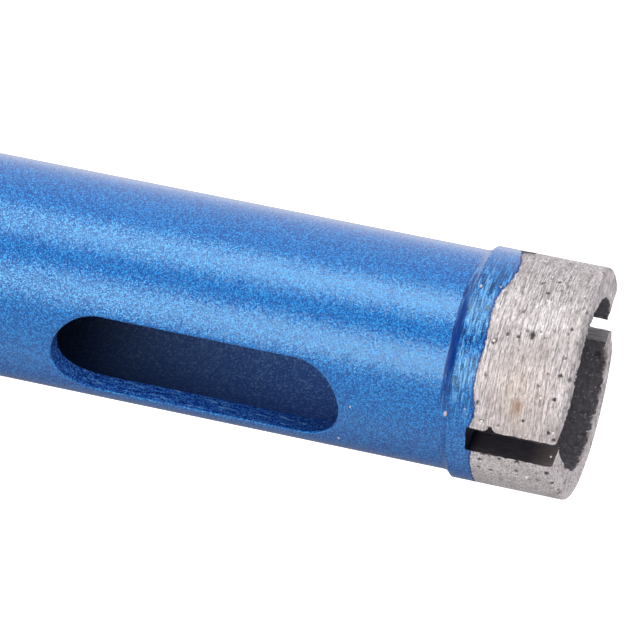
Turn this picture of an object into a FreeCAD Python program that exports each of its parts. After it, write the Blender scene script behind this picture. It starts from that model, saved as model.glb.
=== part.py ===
import FreeCAD, Part
import math
import os

# Diamond core drill bit for stone and tile, standing on its hub with the cutting crown on top.
# Millimetres. The origin is the centre of the hub's lower face, and +Z runs up the drilling axis.
# The milled window in the barrel faces -Y.

# Diamond crown: a sintered ring, ground round, with two water slots opposite each other
CUT_DIAMETER = 25.0
CROWN_WALL = 3.2
CROWN_HEIGHT = 13.4
NECK_HEIGHT = 1.1        # height of the hollow flare from the barrel's size out to the cutting size
RIM_ROUND = 0.45         # worn outer corner of the rim
RIM_BREAK = 0.15         # broken inner corner of the rim
SLOT_WIDTH = 3.1
SLOT_DEPTH = 10.2
SLOT_TURN_DEG = -2.6     # the slots were cut a little off the line of the window
SLOT_CORNER = 0.4        # radius in the two corners of each slot's floor

# Core tube: the steel barrel
TUBE_DIAMETER = 23.7
TUBE_WALL = 2.1
WORKING_LENGTH = 150.0   # from the hub's shoulder to the crown's rim
WINDOW_LENGTH = 31.8
WINDOW_WIDTH = 10.4
WINDOW_TO_CROWN = 10.8   # plain wall left between the window and the crown

# Threaded hub: turned from hexagon bar, pressed into the barrel and brazed there
HEX_ACROSS_FLATS = 22.0
HEX_CORNER_DIAMETER = 24.7
HEX_HEIGHT = 15.0
HEX_CHAMFER_DEG = 30.0
COLLAR_HEIGHT = 5.0
SPIGOT_LENGTH = 10.0
SPIGOT_LEAD = 0.8
BRAZE_GAP = 0.05         # radial room for the braze between spigot and barrel
THREAD_DIAMETER = 14.0
THREAD_PITCH = 2.0
THREAD_LEAD = 0.3        # how far each countersink opens past the thread's outside, per side

# Worked out from the sizes above
CUT_RADIUS = CUT_DIAMETER / 2
CROWN_BORE_RADIUS = CUT_RADIUS - CROWN_WALL
TUBE_RADIUS = TUBE_DIAMETER / 2
TUBE_BORE_RADIUS = TUBE_RADIUS - TUBE_WALL
SHOULDER_Z = HEX_HEIGHT + COLLAR_HEIGHT
RIM_Z = SHOULDER_Z + WORKING_LENGTH
CROWN_BASE_Z = RIM_Z - CROWN_HEIGHT
WINDOW_CENTRE_Z = CROWN_BASE_Z - WINDOW_TO_CROWN - WINDOW_LENGTH / 2
# An inside thread's wall lies at its minor diameter, five eighths of the thread triangle in from the major
THREAD_MINOR_RADIUS = THREAD_DIAMETER / 2 - 5 / 8 * math.cos(math.radians(30)) * THREAD_PITCH
PAST = 1.0               # how far a cutter reaches beyond what it cuts


def point(radius, height):
    """A point of a turned outline, in the XZ plane."""
    return FreeCAD.Vector(radius, 0, height)


def line(start, end):
    return Part.LineSegment(start, end).toShape()


def arc(start, middle, end):
    return Part.Arc(start, middle, end).toShape()


def turned(edges):
    """Revolve a closed outline about the drilling axis."""
    face = Part.Face(Part.Wire(edges))
    return face.revolve(FreeCAD.Vector(0, 0, 0), FreeCAD.Vector(0, 0, 1), 360)


def turned_points(points):
    """Revolve a closed outline that has only straight sides."""
    closed = points + points[:1]
    return turned([line(a, b) for a, b in zip(closed, closed[1:])])


def neck_arc(low, high):
    """The hollow flare: it leaves the barrel's line smoothly and ends in an edge at the cutting size."""
    step = high.x - low.x
    rise = high.z - low.z
    radius = (step ** 2 + rise ** 2) / (2 * step)
    half_turn = math.asin(rise / radius) / 2
    middle = point(low.x + radius * (1 - math.cos(half_turn)), low.z + radius * math.sin(half_turn))
    return arc(low, middle, high)


def rim_arc(start, end):
    """The rounded outer corner of the rim, a quarter turn."""
    centre = point(end.x, start.z)
    reach = (start.x - end.x) * math.cos(math.radians(45))
    return arc(start, point(centre.x + reach, centre.z + reach), end)


def crown_blank():
    """The ground ring before its slots are cut."""
    base_inner = point(CROWN_BORE_RADIUS, CROWN_BASE_Z)
    base_outer = point(TUBE_RADIUS, CROWN_BASE_Z)
    neck_top = point(CUT_RADIUS, CROWN_BASE_Z + NECK_HEIGHT)
    corner_low = point(CUT_RADIUS, RIM_Z - RIM_ROUND)
    corner_top = point(CUT_RADIUS - RIM_ROUND, RIM_Z)
    break_top = point(CROWN_BORE_RADIUS + RIM_BREAK, RIM_Z)
    break_low = point(CROWN_BORE_RADIUS, RIM_Z - RIM_BREAK)
    return turned([
        line(base_inner, base_outer),
        neck_arc(base_outer, neck_top),
        line(neck_top, corner_low),
        rim_arc(corner_low, corner_top),
        line(corner_top, break_top),
        line(break_top, break_low),
        line(break_low, base_inner),
    ])


def slot_cutter():
    """One straight cut across the whole crown, which makes both slots."""
    floor_z = RIM_Z - SLOT_DEPTH
    length = CUT_DIAMETER + 2 * PAST
    corner = FreeCAD.Vector(-SLOT_WIDTH / 2, -length / 2, floor_z)
    cutter = Part.makeBox(SLOT_WIDTH, length, SLOT_DEPTH + PAST, corner)
    floor_edges = [edge for edge in cutter.Edges if edge.BoundBox.ZMax < floor_z + SLOT_CORNER
                   and edge.BoundBox.YLength > CUT_DIAMETER]
    cutter = cutter.makeFillet(SLOT_CORNER, floor_edges)
    cutter.rotate(FreeCAD.Vector(0, 0, 0), FreeCAD.Vector(0, 0, 1), SLOT_TURN_DEG)
    return cutter


def diamond_crown():
    return crown_blank().cut(slot_cutter())


def window_cutter():
    """The path of the end mill that cut the window: straight sides, half-round ends, parallel walls."""
    half_width = WINDOW_WIDTH / 2
    straight = WINDOW_LENGTH / 2 - half_width
    low_z = WINDOW_CENTRE_Z - straight
    high_z = WINDOW_CENTRE_Z + straight
    wire = Part.Wire([
        arc(point(-half_width, high_z), point(0, high_z + half_width), point(half_width, high_z)),
        line(point(half_width, high_z), point(half_width, low_z)),
        arc(point(half_width, low_z), point(0, low_z - half_width), point(-half_width, low_z)),
        line(point(-half_width, low_z), point(-half_width, high_z)),
    ])
    return Part.Face(wire).extrude(FreeCAD.Vector(0, -(TUBE_RADIUS + PAST), 0))


def core_tube():
    barrel = turned_points([
        point(TUBE_BORE_RADIUS, SHOULDER_Z),
        point(TUBE_RADIUS, SHOULDER_Z),
        point(TUBE_RADIUS, CROWN_BASE_Z),
        point(TUBE_BORE_RADIUS, CROWN_BASE_Z),
    ])
    return barrel.cut(window_cutter())


def hexagon_bar(height):
    """Hexagon bar with two of its flats square to Y."""
    corner_radius = HEX_ACROSS_FLATS / 2 / math.cos(math.radians(30))
    corners = []
    for side in range(6):
        turn = math.radians(60 * side)
        corners.append(FreeCAD.Vector(corner_radius * math.cos(turn), corner_radius * math.sin(turn), 0))
    outline = Part.makePolygon(corners + corners[:1])
    return Part.Face(outline).extrude(FreeCAD.Vector(0, 0, height))


def hub_envelope():
    """What the lathe leaves of the bar: chamfered hexagon, round collar, spigot with a lead-in."""
    corner_radius = HEX_CORNER_DIAMETER / 2
    slope = math.tan(math.radians(HEX_CHAMFER_DEG))
    foot_radius = HEX_ACROSS_FLATS / 2 - slope
    spigot_radius = TUBE_BORE_RADIUS - BRAZE_GAP
    spigot_z = SHOULDER_Z + SPIGOT_LENGTH
    return turned_points([
        point(0, 0),
        point(foot_radius, 0),
        point(corner_radius, (corner_radius - foot_radius) * slope),
        point(corner_radius, HEX_HEIGHT - (corner_radius - TUBE_RADIUS) * slope),
        point(TUBE_RADIUS, HEX_HEIGHT),
        point(TUBE_RADIUS, SHOULDER_Z),
        point(spigot_radius, SHOULDER_Z),
        point(spigot_radius, spigot_z - SPIGOT_LEAD),
        point(spigot_radius - SPIGOT_LEAD, spigot_z),
        point(0, spigot_z),
    ])


def thread_hole():
    """The tapped hole at its minor diameter, countersunk at both ends."""
    sink_radius = THREAD_DIAMETER / 2 + THREAD_LEAD
    sink_depth = sink_radius - THREAD_MINOR_RADIUS
    top_z = SHOULDER_Z + SPIGOT_LENGTH
    return turned_points([
        point(0, -PAST),
        point(sink_radius + PAST, -PAST),
        point(THREAD_MINOR_RADIUS, sink_depth),
        point(THREAD_MINOR_RADIUS, top_z - sink_depth),
        point(sink_radius + PAST, top_z + PAST),
        point(0, top_z + PAST),
    ])


def threaded_hub():
    """The hexagon stops at the collar, above which the whole bar is turned round."""
    hexagon = hexagon_bar(HEX_HEIGHT)
    round_part = Part.makeCylinder(TUBE_RADIUS, COLLAR_HEIGHT + SPIGOT_LENGTH, point(0, HEX_HEIGHT))
    bar = hexagon.fuse(round_part)
    return bar.common(hub_envelope()).cut(thread_hole()).removeSplitter()


def export(name, shape):
    solids = shape.Solids
    solid = solids[0] if len(solids) == 1 else Part.makeCompound(solids)
    solid.exportStep(os.path.join("parts", name + ".step"))
    print(name, len(solids), "solid", round(shape.Volume, 1), "mm3", "valid" if shape.isValid() else "not valid")


os.makedirs("parts", exist_ok=True)
export("core_tube", core_tube())
export("diamond_crown", diamond_crown())
export("threaded_hub", threaded_hub())
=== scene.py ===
import math
import random
import bmesh
import bpy
from mathutils import Matrix, Vector, kdtree, noise


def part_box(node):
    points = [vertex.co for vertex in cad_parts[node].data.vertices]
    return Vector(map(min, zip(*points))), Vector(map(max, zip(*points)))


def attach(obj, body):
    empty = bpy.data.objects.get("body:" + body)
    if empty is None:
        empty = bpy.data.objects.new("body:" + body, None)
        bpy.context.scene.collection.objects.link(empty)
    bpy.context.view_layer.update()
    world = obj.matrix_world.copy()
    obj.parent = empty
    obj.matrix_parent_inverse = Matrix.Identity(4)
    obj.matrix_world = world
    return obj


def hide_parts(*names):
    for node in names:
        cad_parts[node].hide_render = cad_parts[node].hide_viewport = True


# Looks of a diamond core bit: a blue metal-flake barrel with a milled window, a ground and worn diamond
# crown, and a tapped hexagon hub. The part stands on its hub, with the drilling axis on Z.

# Real sizes, in millimetres, of what the frame's boxes don't give
TUBE_WALL = 2.1
WINDOW_LENGTH = 31.8
WINDOW_WIDTH = 10.4
WINDOW_TO_CROWN = 10.8
WINDOW_EDGE = 0.22         # how far the sharp edge round the window is rounded off
CROWN_WALL = 3.2
NECK_HEIGHT = 1.1
RIM_ROUND = 0.45
RIM_BREAK = 0.15
SLOT_WIDTH = 3.1
SLOT_DEPTH = 10.2
SLOT_TURN_DEG = -2.6
HEX_ACROSS_FLATS = 22.0
HEX_CORNER_DIAMETER = 24.7
HEX_HEIGHT = 15.0
HEX_CHAMFER_DEG = 30.0
BRAZE_GAP = 0.05
SPIGOT_LEAD = 0.8
THREAD_DIAMETER = 14.0
THREAD_PITCH = 2.0
THREAD_LEAD = 0.3
# An inside thread's wall lies five eighths of the thread triangle in from its outside
THREAD_MINOR_RADIUS = THREAD_DIAMETER / 2 - 5 / 8 * math.cos(math.radians(30)) * THREAD_PITCH

# Camera of the photograph: a long lens, tilted so that the bit lies across the picture
CAMERA_PLACE = (-322.997, -345.162, 241.950)
CAMERA_AZIMUTH_DEG = 42.98
CAMERA_ELEVATION_DEG = -12.154
CAMERA_ROLL_DEG = -101.51
CAMERA_LENS = 254.66       # on a sensor 36 mm wide

# How far up the crown its paint reaches: azimuths in degrees with heights in millimetres above the crown's
# foot. The list starts and ends at the back
PAINT_EDGE = [
    (-313, 3.5), (-250, 3.6), (-225, 3.9), (-205, 4.3), (-189, 4.8), (-181, 4.65), (-173, 4.15),
    (-165, 3.7), (-149, 3.75), (-141, 3.8), (-133, 3.6), (-125, 3.5), (-117, 3.65), (-109, 3.95),
    (-101, 3.6), (-93, 3.4), (-85, 3.85), (-77, 3.75), (-61, 3.8), (-20, 3.6), (47, 3.5),
]
PHOTO_AZIMUTH_DEG = -133     # the side of the bit that the photograph looks at
SOUND_RIM_AZIMUTH_DEG = 130  # the middle of the stretch where the rim's inner side has hardly worn

# The enamel's grain, in millimetres, and its two blues
FLAKE_MM = 0.10              # one aluminium flake, drawn coarser than a real one so that it shows
PEEL_MM = 0.8                # the sprayed coat's orange peel
WRINKLE_MM = 0.19            # from one wrinkle in the crown's paint to the next
DEEP_BLUE = "#104FAD"        # a flake seen through thick lacquer
LIGHT_BLUE = "#38A6FF"       # a flake near the top of the coat

# The spot of rust on the crown
RUST_AZIMUTH_DEG = -115
RUST_BELOW_RIM = 5.1

# Two tall lamp panels, in metres, and how bright they are beside white paper in the room's light
LAMP_DISTANCE = 0.40
LAMP_WIDTH = 0.235
LAMP_HEIGHT = 0.18
LAMP_RADIANCE = 3.25
UPPER_LAMP_AZIMUTH_DEG = 178
FRONT_LAMP_AZIMUTH_DEG = -123

# The black card between them and the floor, in metres
FLAG_DISTANCE = 0.5
FLAG_WIDTH = 0.30
FLAG_HEIGHT = 0.32
FLAG_AZIMUTH_DEG = -157
FLOOR_SIZE = 8.0

METRES = 0.001
FULL_TURN = math.radians(360)

# How finely the pieces are divided
BARREL_SIDES = 256
BARREL_ROWS = 60
WINDOW_SIDES = 98
HUB_SIDES = 192
CROWN_COLUMNS = 480
CROWN_SKIN_ROWS = 90
CROWN_BORE_ROWS = 24
CROWN_RIM_ROWS = 24

# The larger open pits in the crown's skin, where grit has come out: how far below the rim, the azimuth
# in degrees, then the size along the axis and the size around the crown
PITS = [
    (5.0, -150.6, 0.50, 0.96), (6.4, -149.0, 0.35, 0.35), (7.6, -149.0, 0.30, 0.47),
    (8.8, -144.5, 0.55, 0.5), (4.7, -176.0, 0.35, 0.35), (4.0, -185.0, 0.45, 0.4),
    (1.2, -134.3, 0.4, 0.4), (3.3, -127.5, 0.25, 0.3), (1.4, -122.5, 0.4, 0.4), (4.3, -109.0, 0.3, 0.5),
    (6.8, -103.8, 0.3, 0.25), (7.7, -101.4, 0.5, 0.4), (1.5, -105.5, 0.35, 0.5),
    (0.9, -102.1, 0.4, 0.4), (8.6, -104.5, 0.45, 0.4),
    (8.9, -127.7, 0.2, 0.4), (9.3, -113.5, 0.3, 0.56), (1.1, -143.0, 0.3, 0.3), (6.6, -162.0, 0.25, 0.25),
    (2.6, -134.0, 0.25, 0.25), (8.3, -84.6, 0.6, 0.35), (8.6, -80.0, 0.5, 0.4), (7.6, -84.7, 0.35, 0.4),
    (6.5, -83.6, 0.35, 0.35), (4.6, -83.7, 0.55, 0.45), (4.7, -76.5, 0.45, 0.4), (1.4, -79.7, 0.55, 0.7),
    (2.4, -72.0, 0.3, 0.45), (7.5, -72.5, 0.4, 0.4), (0.9, -72.1, 0.5, 0.4), (6.6, -65.4, 0.45, 0.35),
    (8.8, -73.4, 0.4, 0.4), (5.6, -67.0, 0.4, 0.4), (1.1, -66.0, 0.4, 0.4), (2.8, -61.5, 0.4, 0.4),
]
# How many small pits are scattered over the skin, fewer where the larger ones are listed, and along the rim
SMALL_PITS_AT_BACK = 60
SMALL_PITS_IN_FRONT = 8
COARSE_PITS_AT_BACK = 16
RIM_PITS = 190
INNER_RIM_BITES = 60

# Where use has worn the rim down beside a slot: azimuth, half the angle that is worn most, how deep, and how
# far the wear fades out
WORN_SPOTS = [(-103, 2.5, 0.4, 3.0), (-84, 4.0, 0.85, 4.5), (93, 3.0, 0.55, 2.5), (79, 3.0, 0.35, 2.5)]

# Grit crystals that still stand in the skin: below the rim, azimuth, size across
CRYSTALS = [
    (3.55, -73.4, 0.42), (8.8, -144.5, 0.38), (2.8, -122.0, 0.34), (8.6, -104.5, 0.34),
    (1.0, -106.0, 0.30), (6.0, -131.0, 0.22), (4.5, -170.8, 0.30), (4.1, -168.0, 0.24), (4.9, -166.0, 0.2),
]
# Grains of dust under the paint of the barrel and the crown's foot: height, azimuth, size across
NIBS = [
    (157.5, -104.5, 0.62), (158.3, -171.6, 0.46), (160.3, -173.4, 0.30), (159.5, -109.1, 0.28),
    (159.8, -106.8, 0.22), (145.7, -67.2, 0.45), (147.15, -95.0, 0.36),
]


def mm(size):
    """A size in millimetres, as Blender's metres."""
    return size * METRES


def srgb(code):
    """A colour written as an sRGB hex value, as the linear colour that a shader takes."""
    channels = [int(code[i:i + 2], 16) / 255 for i in (1, 3, 5)]
    linear = [c / 12.92 if c <= 0.04045 else ((c + 0.055) / 1.055) ** 2.4 for c in channels]
    return (*linear, 1.0)


def outward(azimuth_deg):
    """The direction away from the axis at one azimuth."""
    turn = math.radians(azimuth_deg)
    return Vector((math.cos(turn), math.sin(turn), 0))


# Modelling helpers

def begin():
    """Leave edit mode and deselect everything, before a new primitive is added."""
    if bpy.context.object and bpy.context.object.mode != "OBJECT":
        bpy.ops.object.mode_set(mode="OBJECT")
    bpy.ops.object.select_all(action="DESELECT")


def make_active(piece):
    """Select one piece alone, for the operators that work on the active one."""
    begin()
    piece.select_set(True)
    bpy.context.view_layer.objects.active = piece


def settled(name):
    """Name the new primitive and put its place, turn and scale into its mesh."""
    piece = bpy.context.object
    piece.name = name
    piece.data.name = name
    bpy.ops.object.transform_apply(location=True, rotation=True, scale=True)
    return piece


def pick(piece, kind, test):
    """Open a piece in edit mode with only the vertices, edges or faces selected that pass a test."""
    make_active(piece)
    bpy.ops.object.mode_set(mode="EDIT")
    bpy.ops.mesh.select_mode(type=kind)
    bpy.ops.mesh.select_all(action="DESELECT")
    mesh = bmesh.from_edit_mesh(piece.data)
    elements = {"VERT": mesh.verts, "EDGE": mesh.edges, "FACE": mesh.faces}[kind]
    for element in elements:
        if test(element):
            element.select_set(True)
    mesh.select_flush_mode()
    bmesh.update_edit_mesh(piece.data)


def pick_all(piece):
    """Open a piece in edit mode with all of it selected."""
    make_active(piece)
    bpy.ops.object.mode_set(mode="EDIT")
    bpy.ops.mesh.select_all(action="SELECT")


def leave():
    """Leave edit mode."""
    bpy.ops.object.mode_set(mode="OBJECT")


def pull(piece, test, shift, spread):
    """Move the vertices that pass a test, and those around them less and less, out to a distance."""
    pick(piece, "VERT", test)
    bpy.ops.transform.translate(value=shift, use_proportional_edit=True, proportional_edit_falloff="SMOOTH",
                                proportional_size=spread)
    leave()


def modify(piece, kind, **settings):
    """Add a modifier and apply it."""
    make_active(piece)
    modifier = piece.modifiers.new(kind.lower(), kind)
    for name, value in settings.items():
        setattr(modifier, name, value)
    bpy.ops.object.modifier_apply(modifier=modifier.name)


def carve(piece, cutter, operation="DIFFERENCE"):
    """Cut, keep or join one solid with another, and throw the second away."""
    modify(piece, "BOOLEAN", object=cutter, operation=operation, solver="EXACT")
    bpy.data.objects.remove(cutter)


def join(piece, others):
    """Make small separate pieces part of the one that carries them."""
    make_active(piece)
    for other in others:
        other.select_set(True)
    bpy.ops.object.join()


def close_mesh(piece):
    """Merge doubled points and turn every face outwards."""
    pick_all(piece)
    bpy.ops.mesh.remove_doubles(threshold=mm(0.001))
    bpy.ops.mesh.normals_make_consistent(inside=False)
    leave()


def shade(piece, angle_deg=30):
    """Smooth the faces, but keep sharp edges crisp, and let the large faces set the shading."""
    make_active(piece)
    bpy.ops.object.shade_smooth_by_angle(angle=math.radians(angle_deg))
    modify(piece, "WEIGHTED_NORMAL", keep_sharp=True, weight=80)


def radius_of(point):
    """How far a point lies from the axis."""
    return math.hypot(point.x, point.y)


def flat_way(point):
    """The direction in which a point lies away from the axis."""
    return Vector((point.x, point.y, 0)).normalized()


def give_materials(piece, *materials):
    """Give a piece its materials. The first is on every face until finish_faces puts on another."""
    for material in materials:
        piece.data.materials.append(material)


def finish_faces(piece, slot_index, test):
    """Put one of the piece's materials on the faces that pass a test."""
    pick(piece, "FACE", test)
    piece.active_material_index = slot_index
    bpy.ops.object.material_slot_assign()
    leave()


def fit_out(piece, node_name):
    """Give a finished piece its place on the part, and hide the CAD node that it stands for."""
    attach(piece, "root")
    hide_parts(node_name)


# Barrel

def turned_tube(name, outer, wall, low, high, sides, rows):
    """A round bar whose ends are inset by the wall and bridged into a bore, then divided into rows."""
    begin()
    bpy.ops.mesh.primitive_cylinder_add(vertices=sides, radius=outer, depth=high - low,
                                        location=(0, 0, (low + high) / 2))
    piece = settled(name)
    pick(piece, "FACE", lambda face: abs(face.normal.z) > 0.9)
    bpy.ops.mesh.inset(thickness=wall)
    bpy.ops.mesh.bridge_edge_loops()
    leave()
    pick(piece, "EDGE", lambda edge: abs(edge.verts[0].co.z - edge.verts[1].co.z) > (high - low) / 2)
    bpy.ops.mesh.subdivide(number_cuts=rows - 1)
    leave()
    return piece


def window_mill(tube_radius, centre_z):
    """The path of an end mill with a flared shank, which cuts the window and rounds its outer edge."""
    radius = mm(WINDOW_WIDTH) / 2
    straight = mm(WINDOW_LENGTH) / 2 - radius
    edge = mm(WINDOW_EDGE)
    turns = [math.radians(step) for step in (0, 22.5, 45, 67.5, 90)]
    flare = [(edge * (1 - math.cos(turn)), edge * (1 - math.sin(turn))) for turn in turns]
    flare += [(edge + mm(0.05), -mm(0.01)), (edge + mm(0.05), -mm(1.5))]
    tip_y = -tube_radius * 0.3
    start_y = -(tube_radius - edge)
    begin()
    bpy.ops.mesh.primitive_cylinder_add(vertices=WINDOW_SIDES, radius=radius, depth=tip_y - start_y,
                                        location=(0, (tip_y + start_y) / 2, centre_z),
                                        rotation=(math.radians(90), 0, FULL_TURN / 2))
    mill = settled("window_mill")
    pick(mill, "FACE", lambda face: face.normal.y < -0.9)
    for (grown, depth), (next_grown, next_depth) in zip(flare, flare[1:]):
        bpy.ops.mesh.extrude_region_move(TRANSFORM_OT_translate={"value": (0, next_depth - depth, 0)})
        growth = (radius + next_grown) / (radius + grown)
        bpy.ops.transform.resize(value=(growth, 1, growth), center_override=(0, 0, centre_z))
    bpy.ops.mesh.select_all(action="SELECT")
    bpy.ops.transform.rotate(value=FULL_TURN / WINDOW_SIDES / 2, orient_axis="Y",
                             center_override=(0, 0, centre_z))
    leave()
    pick(mill, "VERT", lambda vertex: vertex.co.z > centre_z)
    bpy.ops.transform.translate(value=(0, 0, straight))
    leave()
    pick(mill, "VERT", lambda vertex: vertex.co.z < centre_z)
    bpy.ops.transform.translate(value=(0, 0, -straight))
    leave()
    wrap_on_barrel(mill, start_y)
    return mill


def wrap_on_barrel(mill, start_y):
    """Bend the flared end of the mill's path so that it follows the barrel's round skin."""
    for vertex in mill.data.vertices:
        if vertex.co.y < start_y + mm(0.01):
            vertex.co.y = -math.sqrt(vertex.co.y ** 2 - vertex.co.x ** 2)


def dust_nib(height, azimuth_deg, size, skin_radius):
    """A grain of dust caught in the paint: a low rounded lump."""
    begin()
    place = outward(azimuth_deg) * (skin_radius - mm(0.04)) + Vector((0, 0, mm(height)))
    bpy.ops.mesh.primitive_ico_sphere_add(subdivisions=2, radius=mm(size) / 2, location=place,
                                          rotation=(0, 0, math.radians(azimuth_deg)))
    bpy.context.object.scale = (0.6, 1.0, 0.65)
    nib = settled("dust_nib")
    bpy.ops.object.shade_smooth()
    return nib


def painted_barrel(enamel, milled_paint, overspray, dust):
    """The steel barrel with its window, painted outside, on the window's wall and thinly in the bore."""
    low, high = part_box("core_tube")
    centre_z = high.z - mm(WINDOW_TO_CROWN) - mm(WINDOW_LENGTH) / 2
    piece = turned_tube("painted_barrel", high.x, mm(TUBE_WALL), low.z, high.z, BARREL_SIDES, BARREL_ROWS)
    carve(piece, window_mill(high.x, centre_z))
    close_mesh(piece)
    shade(piece)
    give_materials(piece, enamel, milled_paint, overspray, dust)
    skin = high.x - mm(WINDOW_EDGE) * 1.05
    bore = high.x - mm(TUBE_WALL) + mm(0.03)
    finish_faces(piece, 1, lambda face: bore < radius_of(face.calc_center_median()) < skin)
    finish_faces(piece, 2, lambda face: radius_of(face.calc_center_median()) < bore)
    nibs = [dust_nib(*nib, high.x) for nib in NIBS if nib[0] < high.z / METRES]
    for nib in nibs:
        give_materials(nib, dust)
    join(piece, nibs)
    return piece


# Crown

def crown_outline():
    """Half the crown's section: one plane whose corners are rounded, broken and flared."""
    low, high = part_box("diamond_crown")
    tube_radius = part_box("core_tube")[1].x
    bore = high.x - mm(CROWN_WALL)
    begin()
    bpy.ops.mesh.primitive_plane_add(size=1, location=((bore + high.x) / 2, 0, (low.z + high.z) / 2),
                                     rotation=(math.radians(90), 0, 0))
    bpy.context.object.scale = (high.x - bore, high.z - low.z, 1)
    outline = settled("ground_crown")
    hair = mm(0.01)
    top = high.z - hair
    middle = (bore + high.x) / 2
    pick(outline, "VERT", lambda vertex: vertex.co.z > top and vertex.co.x > middle)
    bpy.ops.mesh.bevel(offset=mm(RIM_ROUND), segments=6, affect="VERTICES")
    leave()
    pick(outline, "VERT", lambda vertex: vertex.co.z > top and vertex.co.x < middle)
    bpy.ops.mesh.bevel(offset=mm(RIM_BREAK), segments=2, affect="VERTICES")
    leave()
    sides = [
        (lambda edge: min(vertex.co.x for vertex in edge.verts) > high.x - hair, CROWN_SKIN_ROWS),
        (lambda edge: max(vertex.co.x for vertex in edge.verts) < bore + hair, CROWN_BORE_ROWS),
        (lambda edge: min(vertex.co.z for vertex in edge.verts) > top, CROWN_RIM_ROWS),
    ]
    for is_side, rows in sides:
        pick(outline, "EDGE", is_side)
        bpy.ops.mesh.subdivide(number_cuts=rows - 1)
        leave()
    flare_neck(outline, low.z, tube_radius, high.x)
    return outline


def flare_neck(outline, base_z, tube_radius, cut_radius):
    """Draw the outline's foot in to the barrel's size along a hollow arc."""
    step = cut_radius - tube_radius
    rise = mm(NECK_HEIGHT)
    arc_radius = (step ** 2 + rise ** 2) / (2 * step)
    for vertex in outline.data.vertices:
        height = vertex.co.z - base_z
        if vertex.co.x > tube_radius and height < rise:
            vertex.co.x = tube_radius + arc_radius - math.sqrt(arc_radius ** 2 - height ** 2)


def slot_saw():
    """The bar that cuts both slots. Its faces are rough, so the slots' walls and edges come out rough."""
    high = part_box("diamond_crown")[1]
    depth = mm(SLOT_DEPTH)
    past = mm(1.0)
    begin()
    bpy.ops.mesh.primitive_cube_add(size=1, location=(0, 0, high.z - depth + (depth + past) / 2))
    bpy.context.object.scale = (mm(SLOT_WIDTH), 2 * high.x + 2 * past, depth + past)
    saw = settled("slot_saw")
    modify(saw, "REMESH", mode="VOXEL", voxel_size=mm(0.22))
    modify(saw, "DISPLACE", texture=roughness_map("slot_grain", 0.7), texture_coords="LOCAL",
           strength=mm(0.24), mid_level=0.5)
    crumble_edges(saw, high)
    make_active(saw)
    saw.rotation_euler.z = math.radians(SLOT_TURN_DEG)
    bpy.ops.object.transform_apply(location=False, rotation=True, scale=False)
    return saw


def crumble_edges(saw, high):
    """Where a slot's outer edge has crumbled, the saw reaches further out: along one side of the rear slot,
    and in a nick in the front one."""
    edge_y = high.x - mm(0.3)
    side = mm(SLOT_WIDTH) / 2 * 0.8
    crumbled_z = high.z - mm(4.5)
    nick_z = high.z - mm(7.6)

    def is_crumbled(vertex):
        return vertex.co.x > side and vertex.co.y > edge_y and vertex.co.z > crumbled_z

    def is_nicked(vertex):
        return vertex.co.x < -side and vertex.co.y < -edge_y and abs(vertex.co.z - nick_z) < mm(0.2)

    pull(saw, is_crumbled, (mm(0.85), 0, 0), mm(1.1))
    pull(saw, is_nicked, (-mm(0.4), 0, 0), mm(0.5))


def roughness_map(name, grain_mm):
    """A cloudy pattern of one grain size, for moving a surface in and out."""
    texture = bpy.data.textures.new(name, "CLOUDS")
    texture.noise_scale = mm(grain_mm)
    texture.noise_depth = 2
    return texture


def wear_rim(piece, azimuth_deg, reach_deg, drop, spread):
    """Lower the rim beside a slot, where use has worn it, and let the wear fade out along the rim."""
    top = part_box("diamond_crown")[1].z - mm(0.2)
    way = outward(azimuth_deg)
    limit = math.cos(math.radians(reach_deg))

    def is_worn(vertex):
        return vertex.co.z > top and flat_way(vertex.co).dot(way) > limit

    pull(piece, is_worn, (0, 0, -mm(drop)), mm(spread))


def is_sound(way):
    """Whether the rim's inner side has kept its edge in this direction from the axis."""
    return way.dot(outward(SOUND_RIM_AZIMUTH_DEG)) > 0.75


def nibble_rim(piece):
    """Let the rim rise and fall along its inner side, where the matrix has worn away between the grit."""
    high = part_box("diamond_crown")[1]
    middle = high.x - mm(CROWN_WALL) / 2
    for vertex in piece.data.vertices:
        nearness = 1 - (high.z - vertex.co.z) / mm(1.0)
        inward = min(1, (high.x - mm(0.4) - radius_of(vertex.co)) / mm(1.6))
        if nearness > 0 and inward > 0:
            way = flat_way(vertex.co)
            place = way * (middle + 0.3 * (radius_of(vertex.co) - middle))
            wave = noise.noise(place / mm(0.8)) + 0.8 * noise.noise(place / mm(0.35))
            if not is_sound(way):
                vertex.co.z -= mm(0.7) * max(0, wave) * nearness * inward


def press_hollow(piece, index, place, inwards, along, long_half, across_half, depth):
    """Push the skin in over one small oval, deepest in the middle. How deep it is also goes into the
    attribute that darkens the pits."""
    across = inwards.cross(along)
    marks = piece.data.attributes["open_pit"].data
    for point, number, _ in index.find_range(place, max(long_half, across_half)):
        away = point - place
        spread = (away.dot(along) / long_half) ** 2 + (away.dot(across) / across_half) ** 2
        spread += 0.5 * noise.noise(point / mm(0.22))
        if spread < 1:
            bite = math.sqrt(1 - max(spread, 0))
            piece.data.vertices[number].co += inwards * depth * bite
            marks[number].value = max(marks[number].value, bite * min(1, depth / mm(0.22)))


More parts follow.
